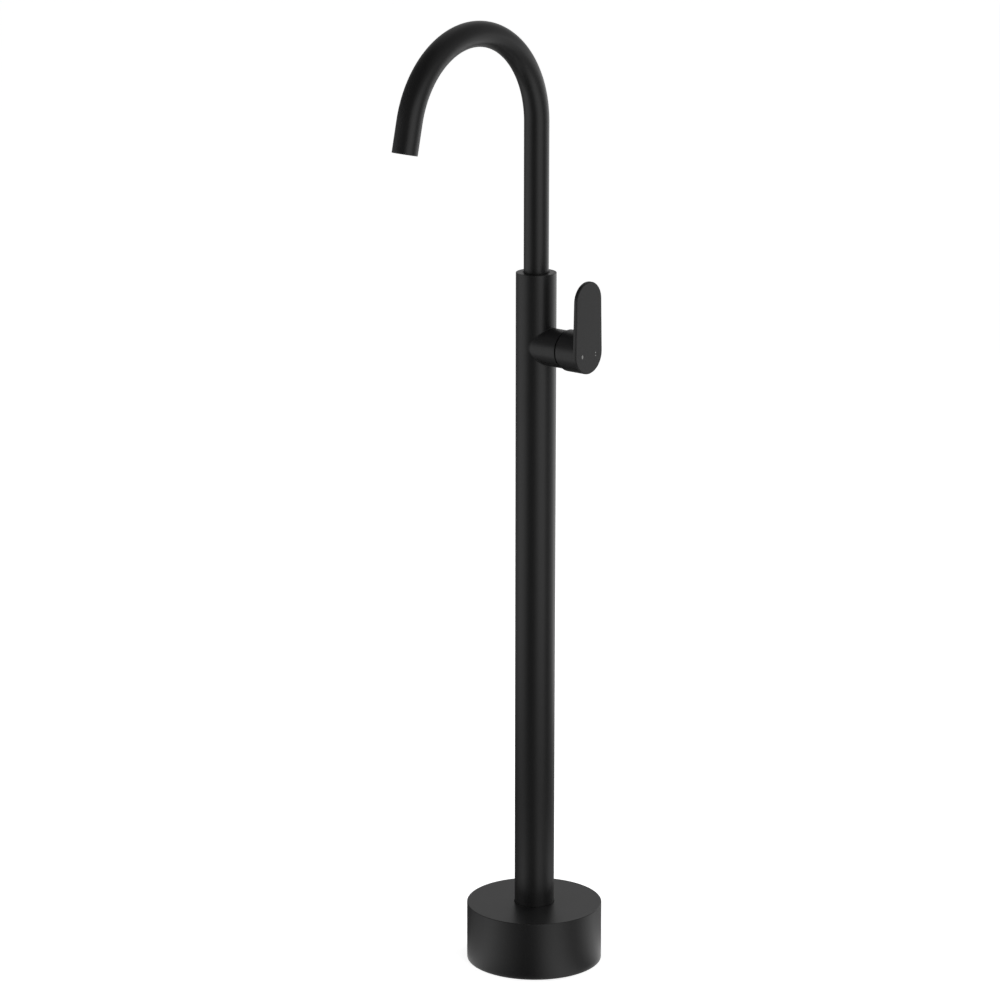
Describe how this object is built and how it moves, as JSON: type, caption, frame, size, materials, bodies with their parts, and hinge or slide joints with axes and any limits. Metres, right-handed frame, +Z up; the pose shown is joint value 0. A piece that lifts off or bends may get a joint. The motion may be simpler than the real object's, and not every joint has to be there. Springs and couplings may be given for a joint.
{
  "type": "floor standing bath filler",
  "caption": "Floor standing bath filler: slim round column with a swivelling arched spout, a side lever mixer on a short sleeve, and a round cover over its floor plate.",
  "frame": {"origin": "on the floor, on the axis of the column", "axes": "+Z up along the column, the spout arches towards -Y at rest, the lever points to +X"},
  "size_m": [0.154, 0.3077, 1.0855],
  "materials": {
    "black_coat": "fine matte black coating on brass",
    "brass": "turned",
    "zinc_steel": "zinc plated",
    "screw_steel": "plain",
    "pipe_steel": "drawn",
    "black_rubber": "moulded",
    "disc_ceramic": "lapped",
    "cartridge_plastic": "moulded",
    "black_plastic": "moulded",
    "mark_grey": "filled mark"
  },
  "bodies": {
    "stand": {"floor_gasket": "black_rubber", "floor_plate": "zinc_steel", "clamp_collar": "zinc_steel", "clamp_screws": "screw_steel", "column_tube": "black_coat", "column_foot": "brass", "check_valves": "cartridge_plastic", "hot_pipe": "pipe_steel", "cold_pipe": "pipe_steel", "valve_body": "brass", "outlet_pipe": "pipe_steel", "side_housing": "black_coat", "cartridge_socket": "brass", "cartridge_base": "cartridge_plastic", "port_seals": "black_rubber", "fixed_disc": "disc_ceramic", "cartridge_housing": "cartridge_plastic", "cartridge_nut": "brass", "spout_socket": "black_coat", "spout_bush": "black_plastic", "spout_lock_screw": "screw_steel"},
    "cover": {"cover_skirt": "black_coat", "cover_top": "black_coat", "cover_seal": "black_rubber"},
    "spout": {"spout_tube": "black_coat", "spout_spigot": "brass", "spout_seal": "black_rubber", "aerator_housing": "black_plastic", "aerator_insert": "black_plastic", "aerator_washer": "black_rubber"},
    "mixer": {"cartridge_rotor": "cartridge_plastic", "stem_pin": "screw_steel"},
    "lever": {"lever_stem": "screw_steel", "handle": "black_coat", "handle_screw": "screw_steel", "screw_plug": "black_plastic", "temperature_marks": "mark_grey"},
    "disc": {"moving_disc": "disc_ceramic", "disc_carrier": "cartridge_plastic"}
  },
  "joints": [
    {"name": "cover_lift", "type": "slide", "parent": "stand", "child": "cover", "axis": [0, 0, 1], "range_m": [0, 0.6]},
    {"name": "spout_swivel", "type": "hinge", "parent": "stand", "child": "spout", "pos_m": [0, 0, 0.7995], "axis": [0, 0, 1], "continuous": true},
    {"name": "mixer_turn", "type": "hinge", "parent": "stand", "child": "mixer", "pos_m": [0.0333, 0, 0.7183], "axis": [1, 0, 0], "range_deg": [-45, 45]},
    {"name": "lever_lift", "type": "hinge", "parent": "mixer", "child": "lever", "pos_m": [0.0333, 0, 0.7183], "axis": [0, 1, 0], "range_deg": [0, 25]},
    {"name": "disc_slide", "type": "slide", "parent": "mixer", "child": "disc", "axis": [0, 0, 1], "range_m": [0, 0.0026]}
  ],
  "couplings": [
    {"joint": "disc_slide", "follows": "lever_lift", "m_per_rad": 0.0059}
  ]
}
